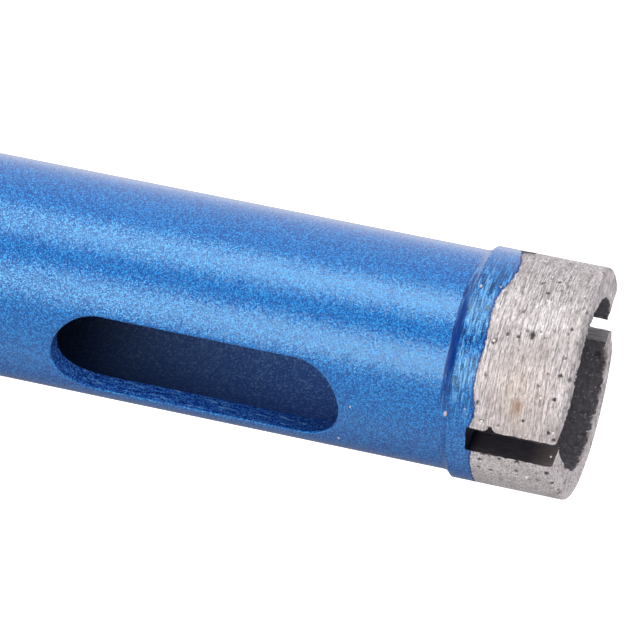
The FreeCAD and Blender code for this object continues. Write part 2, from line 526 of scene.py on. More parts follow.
def scattered_pits(chance):
    """Small pits all round the skin, then some coarse ones at the back, written as the listed pits are."""
    pits = []
    for count, azimuths, sizes in ((SMALL_PITS_AT_BACK, (-60, 210), (0.14, 0.28)),
                                   (SMALL_PITS_IN_FRONT, (-180, -60), (0.12, 0.2))):
        for _ in range(count):
            size = chance.uniform(*sizes)
            below = chance.uniform(0.5, 9.6)
            azimuth = chance.uniform(*azimuths)
            pits.append((below, azimuth, size, size * chance.uniform(0.8, 1.6)))
    for _ in range(COARSE_PITS_AT_BACK):
        below = chance.uniform(0.8, 9.0)
        azimuth = chance.uniform(-50, 150)
        along = chance.uniform(0.25, 0.45)
        pits.append((below, azimuth, along, chance.uniform(0.3, 0.7)))
    return pits


def open_pits(piece):
    """Pits in the skin, the ones that stand out and the scattered ones, then the bites along the rim."""
    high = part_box("diamond_crown")[1]
    piece.data.attributes.new("open_pit", "FLOAT", "POINT")
    index = kdtree.KDTree(len(piece.data.vertices))
    for vertex in piece.data.vertices:
        index.insert(vertex.co, vertex.index)
    index.balance()
    chance = random.Random(4)
    for below, azimuth, along_axis, around in PITS + scattered_pits(chance):
        way = outward(azimuth)
        place = way * high.x + Vector((0, 0, high.z - mm(below)))
        press_hollow(piece, index, place, -way, Vector((0, 0, 1)), mm(along_axis) / 2 + mm(0.05),
                     mm(around) / 2 + mm(0.05), mm(0.1) + 0.3 * mm(min(along_axis, around)))
    bite_rim(piece, index, chance, high)


def bite_rim(piece, index, chance, high):
    """Small pits along both edges of the rim and its middle, then larger bites out of its inner edge."""
    down = Vector((0, 0, -1))
    for _ in range(RIM_PITS):
        way = outward(chance.uniform(0, 360))
        across = chance.choice((0, 1, 2, 2)) * mm(CROWN_WALL) / 2
        size = mm(chance.uniform(0.12, 0.4))
        place = way * (high.x - mm(0.1) - across) + Vector((0, 0, high.z - mm(0.05)))
        press_hollow(piece, index, place, down, way, size, size, size * 0.45)
    for _ in range(INNER_RIM_BITES):
        way = outward(chance.uniform(0, 360))
        size = mm(chance.uniform(0.3, 0.6))
        place = way * (high.x - mm(CROWN_WALL)) + Vector((0, 0, high.z - mm(0.1)))
        if not is_sound(way):
            press_hollow(piece, index, place, down, way, size, size * 0.7, size * 0.65)


def grit_crystal(below, azimuth_deg, size):
    """One diamond crystal, a blunt angular lump half sunk in the skin. Its own numbers turn it, so that no
    two lie alike."""
    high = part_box("diamond_crown")[1]
    begin()
    place = outward(azimuth_deg) * (high.x - mm(size) * 0.15) + Vector((0, 0, high.z - mm(below)))
    bpy.ops.mesh.primitive_ico_sphere_add(subdivisions=2, radius=mm(size) / 2, location=place,
                                          rotation=(below, azimuth_deg, size))
    return settled("grit_crystal")


def slot_crystal():
    """The crystal that glints on the front slot's lower wall, near the rim."""
    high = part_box("diamond_crown")[1]
    from_axis = mm(10.8)
    below_rim = mm(1.35)
    turn = Matrix.Rotation(math.radians(SLOT_TURN_DEG), 3, "Z")
    place = turn @ Vector((mm(SLOT_WIDTH) / 2 - mm(0.02), -from_axis, high.z - below_rim))
    begin()
    bpy.ops.mesh.primitive_ico_sphere_add(subdivisions=1, radius=mm(0.15), location=place,
                                          rotation=(1, 2, 3))
    return settled("slot_crystal")


def lifted_flake():
    """A dark sliver of paint that has lifted off the crown's edge and stands up along the axis."""
    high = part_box("diamond_crown")[1]
    azimuth = 149.5
    lift = mm(0.14)
    below_rim = mm(8.7)
    begin()
    place = outward(azimuth) * (high.x + lift) + Vector((0, 0, high.z - below_rim))
    turn = (0, math.radians(3), math.radians(azimuth))
    bpy.ops.mesh.primitive_cube_add(size=1, location=place, rotation=turn)
    bpy.context.object.scale = (mm(0.07), mm(0.35), mm(1.6))
    flake = settled("lifted_flake")
    pick(flake, "EDGE", lambda edge: abs(edge.verts[0].co.z - edge.verts[1].co.z) > mm(1))
    bpy.ops.mesh.subdivide(number_cuts=7)
    leave()
    modify(flake, "DISPLACE", texture=roughness_map("flake_curl", 0.5), texture_coords="LOCAL",
           strength=mm(0.12), mid_level=0.5)
    return flake


def ground_crown(matrix, sinter, sawn, crystal, film, dust):
    """The crown: its section spun round the axis, sawn, worn and pitted, with its grit and paint flakes."""
    low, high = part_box("diamond_crown")
    piece = crown_outline()
    pick_all(piece)
    bpy.ops.mesh.delete(type="ONLY_FACE")
    bpy.ops.mesh.select_all(action="SELECT")
    bpy.ops.mesh.spin(steps=CROWN_COLUMNS, angle=FULL_TURN, center=(0, 0, 0), axis=(0, 0, 1))
    leave()
    close_mesh(piece)
    carve(piece, slot_saw())
    close_mesh(piece)
    give_materials(piece, matrix, sinter, sawn, crystal, film, dust)
    foot_z = low.z + mm(NECK_HEIGHT) + mm(0.1)
    bore = high.x - mm(CROWN_WALL) + mm(0.03)

    def is_sawn(face):
        middle = face.calc_center_median()
        leaning = face.normal.dot(flat_way(middle))
        on_rim = middle.z > high.z - mm(2) and face.normal.z > 0.5
        on_skin = leaning > 0.45 or (middle.z < foot_z and leaning > 0.2)
        return not (on_rim or on_skin)

    def is_bore(face):
        return radius_of(face.calc_center_median()) < bore and abs(face.normal.z) < 0.5

    finish_faces(piece, 2, is_sawn)
    finish_faces(piece, 1, is_bore)
    for spot in WORN_SPOTS:
        wear_rim(piece, *spot)
    nibble_rim(piece)
    open_pits(piece)
    shade(piece, 40)
    grains = [grit_crystal(*crystal_place) for crystal_place in CRYSTALS] + [slot_crystal()]
    for grain in grains:
        give_materials(grain, crystal)
    flake = lifted_flake()
    give_materials(flake, film)
    nibs = [dust_nib(*nib, high.x) for nib in NIBS if nib[0] > low.z / METRES]
    for nib in nibs:
        give_materials(nib, dust)
    join(piece, grains + [flake] + nibs)
    return piece


# Hub

def hexagon_hub(enamel, steel):
    """The hub: a hexagon with turned chamfers, the collar and spigot above it, and a tapped hole."""
    low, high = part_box("threaded_hub")
    tube_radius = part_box("core_tube")[1].x
    corner = mm(HEX_ACROSS_FLATS) / 2 / math.cos(math.radians(30))
    begin()
    bpy.ops.mesh.primitive_cylinder_add(vertices=6, radius=corner, depth=mm(HEX_HEIGHT),
                                        location=(0, 0, low.z + mm(HEX_HEIGHT) / 2),
                                        rotation=(0, 0, math.radians(30)))
    piece = settled("tapped_hub")
    carve(piece, turned_envelope(low.z, tube_radius), "INTERSECT")
    carve(piece, collar_and_spigot(low.z + mm(HEX_HEIGHT), high.z, tube_radius), "UNION")
    carve(piece, screw_tap(low.z, high.z))
    for end_z, inward in ((low.z, 1), (high.z, -1)):
        carve(piece, countersink(end_z, inward))
    close_mesh(piece)
    shade(piece)
    give_materials(piece, enamel, steel)
    hole = mm(THREAD_DIAMETER) / 2 + mm(THREAD_LEAD) * 0.9

    def is_thread(face):
        return radius_of(face.calc_center_median()) < hole and abs(face.normal.z) < 0.99

    finish_faces(piece, 1, is_thread)
    return piece


def turned_envelope(low_z, tube_radius):
    """The chamfers that a lathe leaves on a hexagon: a round bar drawn in at both ends."""
    corner = mm(HEX_CORNER_DIAMETER) / 2
    slope = math.tan(math.radians(HEX_CHAMFER_DEG))
    foot = mm(HEX_ACROSS_FLATS) / 2 - mm(slope)
    foot_rise = (corner - foot) * slope
    top_fall = (corner - tube_radius) * slope
    middle = mm(HEX_HEIGHT) - foot_rise - top_fall
    begin()
    bpy.ops.mesh.primitive_cylinder_add(vertices=HUB_SIDES, radius=corner, depth=middle,
                                        location=(0, 0, low_z + foot_rise + middle / 2))
    envelope = settled("turned_envelope")
    pick(envelope, "FACE", lambda face: face.normal.z < -0.9)
    bpy.ops.mesh.extrude_region_move(TRANSFORM_OT_translate={"value": (0, 0, -foot_rise)})
    bpy.ops.transform.resize(value=(foot / corner, foot / corner, 1), center_override=(0, 0, low_z))
    leave()
    pick(envelope, "FACE", lambda face: face.normal.z > 0.9)
    bpy.ops.mesh.extrude_region_move(TRANSFORM_OT_translate={"value": (0, 0, top_fall)})
    bpy.ops.transform.resize(value=(tube_radius / corner, tube_radius / corner, 1),
                             center_override=(0, 0, low_z + mm(HEX_HEIGHT)))
    leave()
    return envelope


def collar_and_spigot(low_z, high_z, tube_radius):
    """The round part of the hub: a collar of the barrel's size and the spigot inside the barrel."""
    shoulder_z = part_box("core_tube")[0].z
    spigot = tube_radius - mm(TUBE_WALL) - mm(BRAZE_GAP)
    lead = mm(SPIGOT_LEAD)
    begin()
    bpy.ops.mesh.primitive_cylinder_add(vertices=HUB_SIDES, radius=tube_radius, depth=shoulder_z - low_z,
                                        location=(0, 0, (low_z + shoulder_z) / 2))
    bar = settled("collar_and_spigot")
    pick(bar, "FACE", lambda face: face.normal.z > 0.9)
    bpy.ops.mesh.inset(thickness=tube_radius - spigot)
    bpy.ops.mesh.extrude_region_move(TRANSFORM_OT_translate={"value": (0, 0, high_z - lead - shoulder_z)})
    bpy.ops.mesh.extrude_region_move(TRANSFORM_OT_translate={"value": (0, 0, lead)})
    shrink = (spigot - lead) / spigot
    bpy.ops.transform.resize(value=(shrink, shrink, 1), center_override=(0, 0, high_z))
    leave()
    return bar


def screw_tap(low_z, high_z):
    """The tap that cuts the inside thread: one tooth's outline, wound up the axis."""
    pitch = mm(THREAD_PITCH)
    major = mm(THREAD_DIAMETER) / 2
    minor = mm(THREAD_MINOR_RADIUS)
    turns = math.ceil((high_z - low_z) / pitch) + 3
    start_z = low_z - 2 * pitch
    outline = [
        (minor, 0), (minor, pitch / 4), (major, pitch * 9 / 16), (major, pitch * 11 / 16), (minor, pitch),
    ]
    begin()
    bpy.ops.mesh.primitive_circle_add(vertices=len(outline), radius=minor, fill_type="NOTHING")
    tap = settled("screw_tap")
    for vertex, (radius, height) in zip(tap.data.vertices, outline):
        vertex.co = (radius, 0, start_z + height)
    pick(tap, "EDGE", lambda edge: abs(edge.verts[0].co.z - edge.verts[1].co.z) > pitch * 0.9)
    bpy.ops.mesh.delete(type="EDGE")
    leave()
    modify(tap, "SCREW", axis="Z", screw_offset=pitch, iterations=turns, steps=72, render_steps=72,
           use_merge_vertices=True, merge_threshold=mm(0.001))
    pick(tap, "EDGE", lambda edge: edge.is_boundary)
    bpy.ops.mesh.fill_holes(sides=0)
    leave()
    close_mesh(tap)
    return tap


def countersink(end_z, inward):
    """A cone that opens the hole a little past the thread's outside, at one end of the hub."""
    minor = mm(THREAD_MINOR_RADIUS)
    mouth = mm(THREAD_DIAMETER) / 2 + mm(THREAD_LEAD)
    depth = mouth - minor
    past = mm(1.0)
    run_in = mm(0.3)
    middle = end_z + inward * ((depth + run_in - past) / 2)
    begin()
    bpy.ops.mesh.primitive_cone_add(vertices=HUB_SIDES // 2, radius1=mouth + past, radius2=minor - run_in,
                                    depth=depth + past + run_in)
    bpy.context.object.rotation_euler.x = 0 if inward > 0 else math.radians(180)
    bpy.context.object.location.z = middle
    return settled("countersink")


# Materials

def add_node(tree, kind, inputs=None, **settings):
    """Add one node, set its properties, and set or link its inputs, given by name or by number."""
    node = tree.nodes.new(kind)
    for name, value in settings.items():
        setattr(node, name, value)
    for name, value in (inputs or {}).items():
        if isinstance(value, bpy.types.NodeSocket):
            tree.links.new(value, node.inputs[name])
        else:
            node.inputs[name].default_value = value
    return node


def new_material(name):
    """A material with an empty node tree."""
    material = bpy.data.materials.new(name)
    material.use_nodes = True
    material.node_tree.nodes.clear()
    return material


def finish_material(material, shader):
    """Send a material's shader to its output."""
    add_node(material.node_tree, "ShaderNodeOutputMaterial", {"Surface": shader})
    return material


def millimetres(tree):
    """Object coordinates in millimetres, so that one over a real size is a pattern's scale."""
    place = add_node(tree, "ShaderNodeTexCoord").outputs["Object"]
    return add_node(tree, "ShaderNodeVectorMath", {
        0: place, "Scale": 1 / METRES,
    }, operation="SCALE").outputs[0]


def toward(tree, direction, azimuth_deg):
    """How far a direction, or a place, reaches toward one azimuth."""
    return add_node(tree, "ShaderNodeVectorMath", {
        0: direction, 1: outward(azimuth_deg),
    }, operation="DOT_PRODUCT").outputs["Value"]


def leaning_normal(tree, random_colour, amount, normal):
    """A normal that leans a random way, by a random colour's distance from grey."""
    lean = add_node(tree, "ShaderNodeVectorMath", {
        0: random_colour, 1: (0.5, 0.5, 0.5),
    }, operation="SUBTRACT")
    scaled = add_node(tree, "ShaderNodeVectorMath", {
        0: lean.outputs[0], "Scale": amount,
    }, operation="SCALE")
    moved = add_node(tree, "ShaderNodeVectorMath", {0: scaled.outputs[0], 1: normal}, operation="ADD")
    return add_node(tree, "ShaderNodeVectorMath", {0: moved.outputs[0]}, operation="NORMALIZE").outputs[0]


def enamel_shader(tree, place, deep=DEEP_BLUE, light=LIGHT_BLUE, under=None, streaks=None):
    """Metal-flake enamel: blue lacquer full of leaning flakes, under a glossy coat that hardly follows them.
    It takes the normal of a rough surface under it, and how far dark and light streaks show on it: painted
    shade in the hollows of wrinkles and tears, and a painted highlight on their backs."""
    peel = add_node(tree, "ShaderNodeTexNoise", {"Vector": place, "Scale": 1 / PEEL_MM, "Detail": 2.0})
    skin = add_node(tree, "ShaderNodeBump", {
        "Strength": 0.25, "Distance": mm(0.02), "Height": peel.outputs[0],
    })
    if under:
        tree.links.new(under, skin.inputs["Normal"])
    # The coat hides the glint of single flakes where the skin is seen at a low angle
    slant = add_node(tree, "ShaderNodeLayerWeight", {"Blend": 0.5}).outputs["Facing"]
    glint = add_node(tree, "ShaderNodeMapRange", {
        "Value": slant, "From Min": 0.18, "From Max": 0.52, "To Min": 1.0, "To Max": 0.2,
    }).outputs[0]
    flake = add_node(tree, "ShaderNodeTexVoronoi", {"Vector": place, "Scale": 1 / FLAKE_MM})
    channel = add_node(tree, "ShaderNodeSeparateColor", {"Color": flake.outputs["Color"]})
    shallow = add_node(tree, "ShaderNodeMapRange", {
        "Value": channel.outputs["Blue"], "From Min": 0.55, "From Max": 0.85,
    })
    colour = add_node(tree, "ShaderNodeMix", {
        "Factor": shallow.outputs[0], "A": srgb(deep), "B": srgb(light),
    }, data_type="RGBA")
    # The dark streak colour carries painted shade and the light one a painted highlight
    for factor, shade_and_highlight_colour in zip(streaks or (), ("#001A66", "#8CCCFF")):
        colour = add_node(tree, "ShaderNodeMix", {
            "Factor": factor, "A": colour.outputs["Result"], "B": srgb(shade_and_highlight_colour),
        }, data_type="RGBA")
    flake_lean = add_node(tree, "ShaderNodeMath", {0: glint, 1: 0.28}, operation="MULTIPLY").outputs[0]
    coat_lean = add_node(tree, "ShaderNodeMath", {0: glint, 1: 0.15}, operation="MULTIPLY").outputs[0]
    return add_node(tree, "ShaderNodeBsdfPrincipled", {
        "Base Color": colour.outputs["Result"], "Roughness": 0.2, "Specular IOR Level": 0.75,
        "Specular Tint": srgb("#92E6EA"),
        "Normal": leaning_normal(tree, flake.outputs["Color"], flake_lean, skin.outputs[0]),
        "Coat Weight": 0.36, "Coat Roughness": 0.1,
        "Coat Normal": leaning_normal(tree, flake.outputs["Color"], coat_lean, skin.outputs[0]),
    }).outputs[0]


def shade_lacquer(tree, normal):
    """A dark blue lacquer with no flakes near its surface, smooth and glossy, put on as painted shade in the
    neck and as a painted shadow under the paint's ragged edge.
    """
    return add_node(tree, "ShaderNodeBsdfPrincipled", {
        "Base Color": srgb("#043488"), "Roughness": 0.4, "Specular IOR Level": 0.2, "Normal": normal,
        "Coat Weight": 0.06, "Coat Roughness": 0.12, "Coat Normal": normal,
    }).outputs[0]


def neck_shade(tree, place, axis):
    """Painted shade in the neck's hollow, on the photographed side."""
    base_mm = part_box("diamond_crown")[0].z / METRES
    # Painted shade: a band round the neck, faded out away from the photographed side
    low = add_node(tree, "ShaderNodeMapRange", {
        "Value": axis.outputs["Z"], "From Min": base_mm - 0.1, "From Max": base_mm + 0.15,
    }, interpolation_type="SMOOTHSTEP")
    high = add_node(tree, "ShaderNodeMapRange", {
        "Value": axis.outputs["Z"], "From Min": base_mm + 1.15, "From Max": base_mm + 0.85,
    }, interpolation_type="SMOOTHSTEP")
    in_neck = add_node(tree, "ShaderNodeMath", {
        0: low.outputs[0], 1: high.outputs[0],
    }, operation="MULTIPLY")
    angle = photo_angle(tree, place)
    rising = add_node(tree, "ShaderNodeMapRange", {
        "Value": angle, "From Min": -54.0, "From Max": -22.0, "To Min": 0.1, "To Max": 0.9,
    })
    falling = add_node(tree, "ShaderNodeMapRange", {
        "Value": angle, "From Min": 4.0, "From Max": 30.0, "To Min": 1.0, "To Max": 0.1,
    })
    fade = add_node(tree, "ShaderNodeMath", {
        0: rising.outputs[0], 1: falling.outputs[0],
    }, operation="MULTIPLY")
    return add_node(tree, "ShaderNodeMath", {
        0: in_neck.outputs[0], 1: fade.outputs[0],
    }, operation="MULTIPLY").outputs[0]


def flake_enamel():
    """Blue metal-flake enamel, sprayed: it gives broad soft bands of light with a fine sparkle."""
    material = new_material("blue_flake_enamel")
    tree = material.node_tree
    return finish_material(material, enamel_shader(tree, millimetres(tree)))


def milled_enamel():
    """The same enamel on the rough milled wall of the window: it breaks the light into coarse sparkles,
    shows the cutter's tears along the axis with painted shade in their hollows and a painted highlight on
    their ridges, and grows darker toward the crown's end."""
    material = new_material("blue_enamel_on_milled_edge")
    tree = material.node_tree
    place = millimetres(tree)
    stretched = add_node(tree, "ShaderNodeMapping", {"Vector": place, "Scale": (1.0, 1.0, 0.45)})
    tooth = add_node(tree, "ShaderNodeTexNoise", {
        "Vector": stretched.outputs[0], "Scale": 1 / 0.3, "Detail": 2.0,
    })
    torn = add_node(tree, "ShaderNodeBump", {
        "Strength": 1.0, "Distance": mm(0.08), "Height": tooth.outputs[0],
    })
    axis = add_node(tree, "ShaderNodeSeparateXYZ", {"Vector": place})
    top_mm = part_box("core_tube")[1].z / METRES
    # Darker toward the crown's end
    darker_toward_crown = add_node(tree, "ShaderNodeMapRange", {
        "Value": axis.outputs["Z"], "From Min": top_mm - 30.6, "From Max": top_mm - 10.6, "To Max": 0.9,
    })
    drawn = add_node(tree, "ShaderNodeMapping", {"Vector": place, "Scale": (1 / 0.25, 1 / 0.25, 1 / 1.4)})
    tears = add_node(tree, "ShaderNodeTexNoise", {
        "Vector": drawn.outputs[0], "Scale": 1.0, "Detail": 3.0,
    })
    # The tears drawn in colour: painted shade in their hollows, a painted highlight on their ridges
    hollow = add_node(tree, "ShaderNodeMapRange", {
        "Value": tears.outputs[0], "From Min": 0.48, "From Max": 0.40, "To Max": 0.7,
    })
    ridge = add_node(tree, "ShaderNodeMapRange", {
        "Value": tears.outputs[0], "From Min": 0.60, "From Max": 0.68, "To Max": 0.5,
    })
    dark = add_node(tree, "ShaderNodeMath", {
        0: darker_toward_crown.outputs[0], 1: hollow.outputs[0],
    }, operation="MAXIMUM")
    return finish_material(material, enamel_shader(tree, place, "#1848B8", "#5AACFF", torn.outputs[0],
                                                   (dark.outputs[0], ridge.outputs[0])))


def overspray_enamel():
    """Enamel that drifted into the bore through the window and the open end: dry and slate blue near the
    crown, under painted shade that deepens to nearly black toward the hub, far from the openings."""
    material = new_material("overspray_enamel")
    tree = material.node_tree
    place = millimetres(tree)
    axis = add_node(tree, "ShaderNodeSeparateXYZ", {"Vector": place})
    top_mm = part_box("core_tube")[1].z / METRES
    # Painted shade: the bore's colour darkens to nearly black toward the hub
    lit_toward_crown = add_node(tree, "ShaderNodeMapRange", {
        "Value": axis.outputs["Z"], "From Min": top_mm - 58.6, "From Max": top_mm - 10.6,
    }, interpolation_type="SMOOTHSTEP")
    speck = add_node(tree, "ShaderNodeTexVoronoi", {"Vector": place, "Scale": 1 / 0.16})
    channel = add_node(tree, "ShaderNodeSeparateColor", {"Color": speck.outputs["Color"]})
    bright = add_node(tree, "ShaderNodeMath", {0: channel.outputs["Red"], 1: 4.0}, operation="POWER")
    drift = add_node(tree, "ShaderNodeMix", {
        "Factor": bright.outputs[0], "A": srgb("#4270C0"), "B": srgb("#90BCF8"),
    }, data_type="RGBA")
    colour = add_node(tree, "ShaderNodeMix", {
        "Factor": lit_toward_crown.outputs[0], "A": srgb("#20232C"), "B": drift.outputs["Result"],
    }, data_type="RGBA")
    grain = add_node(tree, "ShaderNodeTexNoise", {"Vector": place, "Scale": 1 / 0.25, "Detail": 3.0})
    bump = add_node(tree, "ShaderNodeBump", {
        "Strength": 0.6, "Distance": mm(0.04), "Height": grain.outputs[0],
    })
    dry = add_node(tree, "ShaderNodeBsdfPrincipled", {
        "Base Color": colour.outputs["Result"], "Roughness": 0.6, "Normal": bump.outputs[0],
    })
    return finish_material(material, dry.outputs[0])


def painted_matrix():
    """Sintered diamond matrix, ground round: pale metal with fine rings of scratches, paler past the front
    slot as painted light, and open pits, darker the deeper they are. Its foot is under the barrel's enamel,
    which ends in a ragged line, with painted shade in the neck and a band of painted shadow under that line."""
    material = new_material("ground_sintered_matrix")
    tree = material.node_tree
    place = millimetres(tree)
    axis = add_node(tree, "ShaderNodeSeparateXYZ", {"Vector": place})
    around = photo_angle(tree, place)
    rings = grinding_rings(tree, place, around)
    scored = add_node(tree, "ShaderNodeBump", {"Strength": 1.0, "Distance": mm(0.14), "Height": rings})
    metal = matrix_shader(tree, place, around, rings, scored.outputs[0])
    above_line = paint_line(tree, place, axis, around)
    film = add_node(tree, "ShaderNodeMapRange", {
        "Value": above_line, "From Min": 0.05, "From Max": -0.05,
    })
    # The wrinkles' dark and light are painted shade in their hollows and a painted highlight on their backs
    height, dark, light = paint_wrinkles(tree, place, around)
    swollen = add_node(tree, "ShaderNodeMath", {0: height, 1: film.outputs[0]}, operation="ADD")
    under = add_node(tree, "ShaderNodeBump", {
        "Strength": 1.0, "Distance": mm(0.035), "Height": swollen.outputs[0],
    })
    paint = enamel_shader(tree, place, under=under.outputs[0], streaks=(dark, light))
    smooth = add_node(tree, "ShaderNodeNewGeometry").outputs["Normal"]
    # Painted shade in the neck and under the paint's edge: a dark lacquer mixed over the paint
    paint_with_shade = add_node(tree, "ShaderNodeMixShader", {
        0: neck_and_edge_shade(tree, place, axis, above_line), 1: paint, 2: shade_lacquer(tree, smooth),
    })
    covered = add_node(tree, "ShaderNodeMapRange", {
        "Value": above_line, "From Min": 0.03, "From Max": -0.03,
    })
    both = add_node(tree, "ShaderNodeMixShader", {0: covered.outputs[0], 1: metal, 2: paint_with_shade.outputs[0]})
    return finish_material(material, both.outputs[0])


def photo_angle(tree, place):
    """The angle round the axis in degrees: 0 on the photographed side, and rising anticlockwise."""
    ahead = toward(tree, place, PHOTO_AZIMUTH_DEG)
    aside = toward(tree, place, PHOTO_AZIMUTH_DEG + 90)
    angle = add_node(tree, "ShaderNodeMath", {0: aside, 1: ahead}, operation="ARCTAN2")
    return add_node(tree, "ShaderNodeMath", {0: angle.outputs[0]}, operation="DEGREES").outputs[0]


def grinding_rings(tree, place, around):
    """Scratches round the crown: long straight ones, crossed by the short marks of single grains, and broken
    up into a plain grain past the front slot. They lie 0.14 mm apart, and run for 3 mm and for 0.7 mm."""
    long_place = add_node(tree, "ShaderNodeMapping", {
        "Vector": place, "Rotation": (0.03, 0.02, 0), "Scale": (0.3, 0.3, 7.0),
    })
    long_marks = add_node(tree, "ShaderNodeTexNoise", {
        "Vector": long_place.outputs[0], "Scale": 1.0, "Detail": 3.0,
    })
    short_place = add_node(tree, "ShaderNodeMapping", {
        "Vector": place, "Rotation": (0.06, 0.05, 0), "Scale": (1.4, 1.4, 7.5),
    })
    short_marks = add_node(tree, "ShaderNodeTexNoise", {
        "Vector": short_place.outputs[0], "Scale": 1.0, "Detail": 3.0, "Roughness": 0.65,
    })
    speckle = add_node(tree, "ShaderNodeTexNoise", {"Vector": place, "Scale": 1 / 0.2, "Detail": 3.0})
    marks = add_node(tree, "ShaderNodeMix", {
        "Factor": 0.6, "A": long_marks.outputs[0], "B": short_marks.outputs[0],
    }, data_type="FLOAT")
    past_slot = add_node(tree, "ShaderNodeMapRange", {
        "Value": around, "From Min": 28.0, "From Max": 46.0,
    })
    before_back = add_node(tree, "ShaderNodeMapRange", {
        "Value": around, "From Min": 100.0, "From Max": 170.0, "To Min": 0.65, "To Max": 0.1,
    })
    plain = add_node(tree, "ShaderNodeMath", {
        0: past_slot.outputs[0], 1: before_back.outputs[0], 2: 0.1,
    }, operation="MULTIPLY_ADD")
    return add_node(tree, "ShaderNodeMix", {
        "Factor": plain.outputs[0], "A": marks.outputs["Result"], "B": speckle.outputs[0],
    }, data_type="FLOAT").outputs[0]


def paint_wrinkles(tree, place, around):
    """Wrinkles that run round the crown in its paint, coarse on the photographed side: their height, and how
    far the painted shade in their hollows and the painted highlight on their backs show."""
    turned = add_node(tree, "ShaderNodeMapping", {
        "Vector": place, "Rotation": (0.03, 0.02, 0), "Scale": (0.6, 0.6, 1 / WRINKLE_MM),
    })
    cloud = add_node(tree, "ShaderNodeTexNoise", {
        "Vector": turned.outputs[0], "Scale": 1.0, "Detail": 1.0, "Roughness": 0.6,
    }).outputs[0]
    after = add_node(tree, "ShaderNodeMapRange", {
        "Value": around, "From Min": 12.0, "From Max": 32.0, "To Min": 1.0, "To Max": 0.15,
    })
    before = add_node(tree, "ShaderNodeMapRange", {
        "Value": around, "From Min": -66.0, "From Max": -40.0, "To Min": 0.15,
    })
    coarse = add_node(tree, "ShaderNodeMath", {
        0: after.outputs[0], 1: before.outputs[0],
    }, operation="MULTIPLY")
    parts = []
    for none, full, most in ((0.3, 0.7, 1.0), (0.47, 0.39, 0.95), (0.55, 0.65, 0.68)):
        part = add_node(tree, "ShaderNodeMapRange", {
            "Value": cloud, "From Min": none, "From Max": full, "To Max": most,
        })
        parts.append(add_node(tree, "ShaderNodeMath", {0: part.outputs[0], 1: coarse.outputs[0]},
                              operation="MULTIPLY").outputs[0])
    return parts


def neck_and_edge_shade(tree, place, axis, above_line):
    """Where painted shade lies: in the neck, and in a narrow band of painted shadow just under the ragged
    line.
    """
    edge_shadow = add_node(tree, "ShaderNodeMapRange", {
        "Value": above_line, "From Min": -0.20, "From Max": -0.12,
    })
    return add_node(tree, "ShaderNodeMath", {
        0: neck_shade(tree, place, axis), 1: edge_shadow.outputs[0],
    }, operation="MAXIMUM").outputs[0]


def paint_line(tree, place, axis, around):
    """How far a point lies above the paint's ragged edge, in millimetres."""
    base_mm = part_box("diamond_crown")[0].z / METRES
    turned = add_node(tree, "ShaderNodeMath", {0: around, 1: 1 / 360, 2: 0.5}, operation="MULTIPLY_ADD")
    curve = add_node(tree, "ShaderNodeFloatCurve", {"Value": turned.outputs[0]})
    points = curve.mapping.curves[0].points
    for azimuth, height in PAINT_EDGE[1:-1]:
        points.new((azimuth - PHOTO_AZIMUTH_DEG) / 360 + 0.5, height / 10)
    points[0].location = (0, PAINT_EDGE[0][1] / 10)
    points[len(points) - 1].location = (1, PAINT_EDGE[-1][1] / 10)
    curve.mapping.update()
    ragged = add_node(tree, "ShaderNodeTexNoise", {
        "Vector": place, "Scale": 1 / 0.7, "Detail": 5.0, "Roughness": 0.8,
    })
    teeth = add_node(tree, "ShaderNodeMath", {
        0: ragged.outputs[0], 1: 0.8, 2: base_mm - 0.4,
    }, operation="MULTIPLY_ADD")
    edge = add_node(tree, "ShaderNodeMath", {
        0: curve.outputs[0], 1: 10.0, 2: teeth.outputs[0],
    }, operation="MULTIPLY_ADD")
    return add_node(tree, "ShaderNodeMath", {
        0: axis.outputs["Z"], 1: edge.outputs[0],
    }, operation="SUBTRACT").outputs[0]


def streaked_metal(tree, place, around, rings):
    """The colour of the scratched metal, paler past the front slot as painted light, with soft grey stains.
    """
    # Painted light: past the front slot the metal is made paler, as if more light fell there
    worn = add_node(tree, "ShaderNodeMapRange", {"Value": around, "From Min": 14.0, "From Max": 40.0})
    before_back = add_node(tree, "ShaderNodeMapRange", {
        "Value": around, "From Min": 100.0, "From Max": 170.0, "To Min": 0.055, "To Max": 0.0,
    })
    lifted = add_node(tree, "ShaderNodeMath", {
        0: worn.outputs[0], 1: before_back.outputs[0], 2: rings,
    }, operation="MULTIPLY_ADD")
    contrast = add_node(tree, "ShaderNodeMapRange", {
        "Value": lifted.outputs[0], "From Min": 0.395, "From Max": 0.605,
    })
    ramp = add_node(tree, "ShaderNodeMix", {
        "Factor": contrast.outputs[0], "A": srgb("#7C7679"), "B": srgb("#F6F1F2"),
    }, data_type="RGBA")
    clouds = add_node(tree, "ShaderNodeTexNoise", {"Vector": place, "Scale": 1 / 2.5, "Detail": 3.0})
    stain = add_node(tree, "ShaderNodeMapRange", {
        "Value": clouds.outputs[0], "From Min": 0.45, "From Max": 0.75, "To Max": 0.5,
    })
    stained = add_node(tree, "ShaderNodeMix", {
        "Factor": stain.outputs[0], "A": ramp.outputs["Result"], "B": srgb("#A69E9C"),
    }, data_type="RGBA")
    return stained.outputs["Result"]


